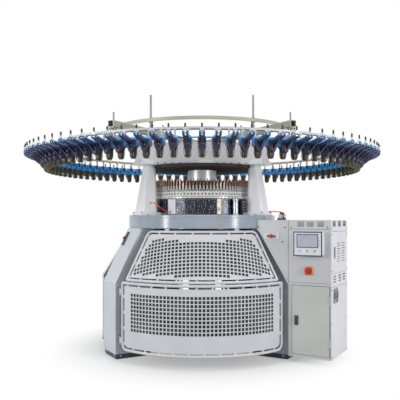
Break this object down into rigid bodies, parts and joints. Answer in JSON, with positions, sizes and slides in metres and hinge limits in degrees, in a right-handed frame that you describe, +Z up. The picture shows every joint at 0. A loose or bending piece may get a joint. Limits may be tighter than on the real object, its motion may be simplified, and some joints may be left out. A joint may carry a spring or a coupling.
{
  "type": "circular knitting machine",
  "caption": "Floor-standing circular knitting machine: ring of positive yarn feeders on a star of arms, knitting head, legs with curved gates, and a control cabinet.",
  "frame": {"origin": "on the floor, on the axis of the needle cylinder", "axes": "+Z up along the cylinder axis, -Y towards the front gate, +X towards the side of the control cabinet"},
  "size_m": [3.1038, 3.104, 2.12],
  "materials": {
    "leg_paint": "satin light grey enamel",
    "foot_paint": "satin dark grey enamel",
    "spider_paint": "satin mid grey enamel",
    "bed_paint": "satin grey-blue enamel",
    "column_paint": "satin light grey enamel",
    "housing_paint": "satin light grey enamel",
    "disc_paint": "satin black enamel",
    "hub_steel": "turned, polished",
    "cam_steel": "blackened, oiled",
    "eyelet_paint": "satin dark grey with white ceramic eyelets",
    "guide_bronze": "aged bronze",
    "gear_iron": "machined, oiled",
    "cylinder_steel": "ground",
    "frame_paint": "satin grey enamel",
    "roller_rubber": "matte",
    "shaft_steel": "ground",
    "motor_paint": "satin grey enamel",
    "belt_rubber": "matte",
    "arm_paint": "satin grey enamel",
    "ring_paint": "satin cream enamel",
    "feeder_plastic": "satin navy mouldings",
    "feeder_belt": "woven blue toothed belt",
    "gate_paint": "satin light grey enamel",
    "cabinet_paint": "satin light grey enamel",
    "display_plastic": "satin white with dark blue rim",
    "switch_yellow": "gloss yellow",
    "knob_red": "gloss red",
    "button_black": "gloss black",
    "button_red": "gloss red",
    "button_green": "gloss green",
    "panel_white": "satin white",
    "electric_plastic": "satin grey",
    "fan_plastic": "matte black",
    "regulator_plastic": "matte black",
    "fitting_brass": "nickel-plated brass",
    "hose_red": "gloss red polyurethane",
    "hinge_steel": "zinc plated"
  },
  "bodies": {
    "frame": {"base_spider": "spider_paint", "left_leg": "leg_paint", "right_leg": "leg_paint", "rear_leg": "leg_paint", "leveling_feet": "foot_paint", "bed_plate": "bed_paint", "left_column": "column_paint", "right_column": "column_paint", "rear_column": "column_paint", "top_housing": "housing_paint", "housing_cover_disc": "disc_paint", "dial_hub": "hub_steel", "cam_box_ring": "cam_steel", "eyelet_ring": "eyelet_paint", "yarn_guide_ring": "guide_bronze", "shaft_bearing": "gear_iron", "motor_plate": "frame_paint", "main_motor": "motor_paint", "main_belt": "belt_rubber", "ring_arms": "arm_paint", "upper_ring": "ring_paint", "front_feeder_segment": "feeder_plastic", "right_feeder_segment": "feeder_plastic", "left_feeder_segment": "feeder_plastic", "feeder_belt": "feeder_belt", "upper_gates": "gate_paint", "gate_hinge_lugs": "hinge_steel", "motor_cover": "cabinet_paint", "control_cabinet": "cabinet_paint", "display_unit": "display_plastic", "switch_plate": "switch_yellow", "fan_frame": "fan_plastic", "electrics_plate": "electric_plastic", "button_panels": "panel_white", "air_regulator": "regulator_plastic", "hose_fittings": "fitting_brass", "left_air_hose": "hose_red", "right_air_hose": "hose_red"},
    "cylinder": {"needle_cylinder": "cylinder_steel", "drive_gear": "gear_iron", "take_down_frame": "frame_paint"},
    "dial": {"dial": "cylinder_steel"},
    "pinion": {"pinion_shaft": "shaft_steel"},
    "motor_rotor": {"motor_pulley": "gear_iron"},
    "front_roller": {"front_nip_roller": "roller_rubber"},
    "rear_roller": {"rear_nip_roller": "roller_rubber"},
    "winder": {"winding_shaft": "shaft_steel"},
    "front_gate": {"front_lower_gate": "gate_paint"},
    "left_gate": {"left_lower_gate": "gate_paint"},
    "right_gate": {"right_lower_gate": "gate_paint"},
    "door": {"cabinet_door": "cabinet_paint"},
    "paddle": {"door_paddle": "fan_plastic"},
    "switch_knob": {"main_switch": "knob_red"},
    "fan": {"fan_rotor": "fan_plastic"},
    "left_inch": {"left_inch_button": "button_black"},
    "left_stop": {"left_stop_button": "button_red"},
    "left_run": {"left_run_button": "button_green"},
    "right_inch": {"right_inch_button": "button_black"},
    "right_stop": {"right_stop_button": "button_red"},
    "right_run": {"right_run_button": "button_green"}
  },
  "joints": [
    {"name": "cylinder_turn", "type": "hinge", "parent": "frame", "child": "cylinder", "pos_m": [0, 0, 1], "axis": [0, 0, 1], "continuous": true},
    {"name": "dial_turn", "type": "hinge", "parent": "frame", "child": "dial", "pos_m": [0, 0, 1.35], "axis": [0, 0, 1], "continuous": true},
    {"name": "pinion_spin", "type": "hinge", "parent": "frame", "child": "pinion", "pos_m": [0.42461, -0.24515, 1], "axis": [0, 0, 1], "continuous": true},
    {"name": "motor_spin", "type": "hinge", "parent": "frame", "child": "motor_rotor", "pos_m": [0.71447, -0.4125, 0.915], "axis": [0, 0, 1], "continuous": true},
    {"name": "front_roller_spin", "type": "hinge", "parent": "cylinder", "child": "front_roller", "pos_m": [0, -0.0245, 0.64], "axis": [1, 0, 0], "continuous": true},
    {"name": "rear_roller_spin", "type": "hinge", "parent": "cylinder", "child": "rear_roller", "pos_m": [0, 0.0245, 0.64], "axis": [1, 0, 0], "continuous": true},
    {"name": "winder_spin", "type": "hinge", "parent": "cylinder", "child": "winder", "pos_m": [0, 0, 0.42], "axis": [1, 0, 0], "continuous": true},
    {"name": "front_gate_swing", "type": "hinge", "parent": "frame", "child": "front_gate", "pos_m": [-0.65175, -0.60607, 0.367], "axis": [0, 0, -1], "range_deg": [0, 100]},
    {"name": "left_gate_swing", "type": "hinge", "parent": "frame", "child": "left_gate", "pos_m": [-0.199, 0.86747, 0.367], "axis": [0, 0, -1], "range_deg": [0, 100]},
    {"name": "right_gate_swing", "type": "hinge", "parent": "frame", "child": "right_gate", "pos_m": [0.199, 0.86747, 0.367], "axis": [0, 0, 1], "range_deg": [0, 100]},
    {"name": "door_swing", "type": "hinge", "parent": "frame", "child": "door", "pos_m": [0.98317, -0.79511, 0.345], "axis": [0, 0, 1], "range_deg": [0, 110]},
    {"name": "paddle_pull", "type": "hinge", "parent": "door", "child": "paddle", "pos_m": [0.74806, -0.66433, 0.373], "axis": [-0.866, 0.5, 0], "range_deg": [0, 45]},
    {"name": "switch_turn", "type": "hinge", "parent": "frame", "child": "switch_knob", "pos_m": [0.83239, -0.72226, 0.737], "axis": [-0.5, -0.866, 0], "range_deg": [0, 90]},
    {"name": "fan_spin", "type": "hinge", "parent": "frame", "child": "fan", "pos_m": [1.03337, -0.69015, 0.542], "axis": [0.866, -0.5, 0], "continuous": true},
    {"name": "right_inch_press", "type": "slide", "parent": "frame", "child": "right_inch", "axis": [0.5, 0.866, 0], "range_m": [0, 0.003], "stiffness_N_per_m": 500},
    {"name": "left_inch_press", "type": "slide", "parent": "frame", "child": "left_inch", "axis": [0.7746, 0.4472, -0.4472], "range_m": [0, 0.003], "stiffness_N_per_m": 500},
    {"name": "right_stop_press", "type": "slide", "parent": "frame", "child": "right_stop", "axis": [0.5, 0.866, 0], "range_m": [0, 0.003], "stiffness_N_per_m": 500},
    {"name": "left_stop_press", "type": "slide", "parent": "frame", "child": "left_stop", "axis": [0.7746, 0.4472, -0.4472], "range_m": [0, 0.003], "stiffness_N_per_m": 500},
    {"name": "right_run_press", "type": "slide", "parent": "frame", "child": "right_run", "axis": [0.5, 0.866, 0], "range_m": [0, 0.003], "stiffness_N_per_m": 500},
    {"name": "left_run_press", "type": "slide", "parent": "frame", "child": "left_run", "axis": [0.7746, 0.4472, -0.4472], "range_m": [0, 0.003], "stiffness_N_per_m": 500}
  ],
  "couplings": [
    {"joint": "dial_turn", "follows": "cylinder_turn", "ratio": 1},
    {"joint": "pinion_spin", "follows": "cylinder_turn", "ratio": -8.8},
    {"joint": "motor_spin", "follows": "cylinder_turn", "ratio": -12.968},
    {"joint": "rear_roller_spin", "follows": "front_roller_spin", "ratio": -1}
  ]
}
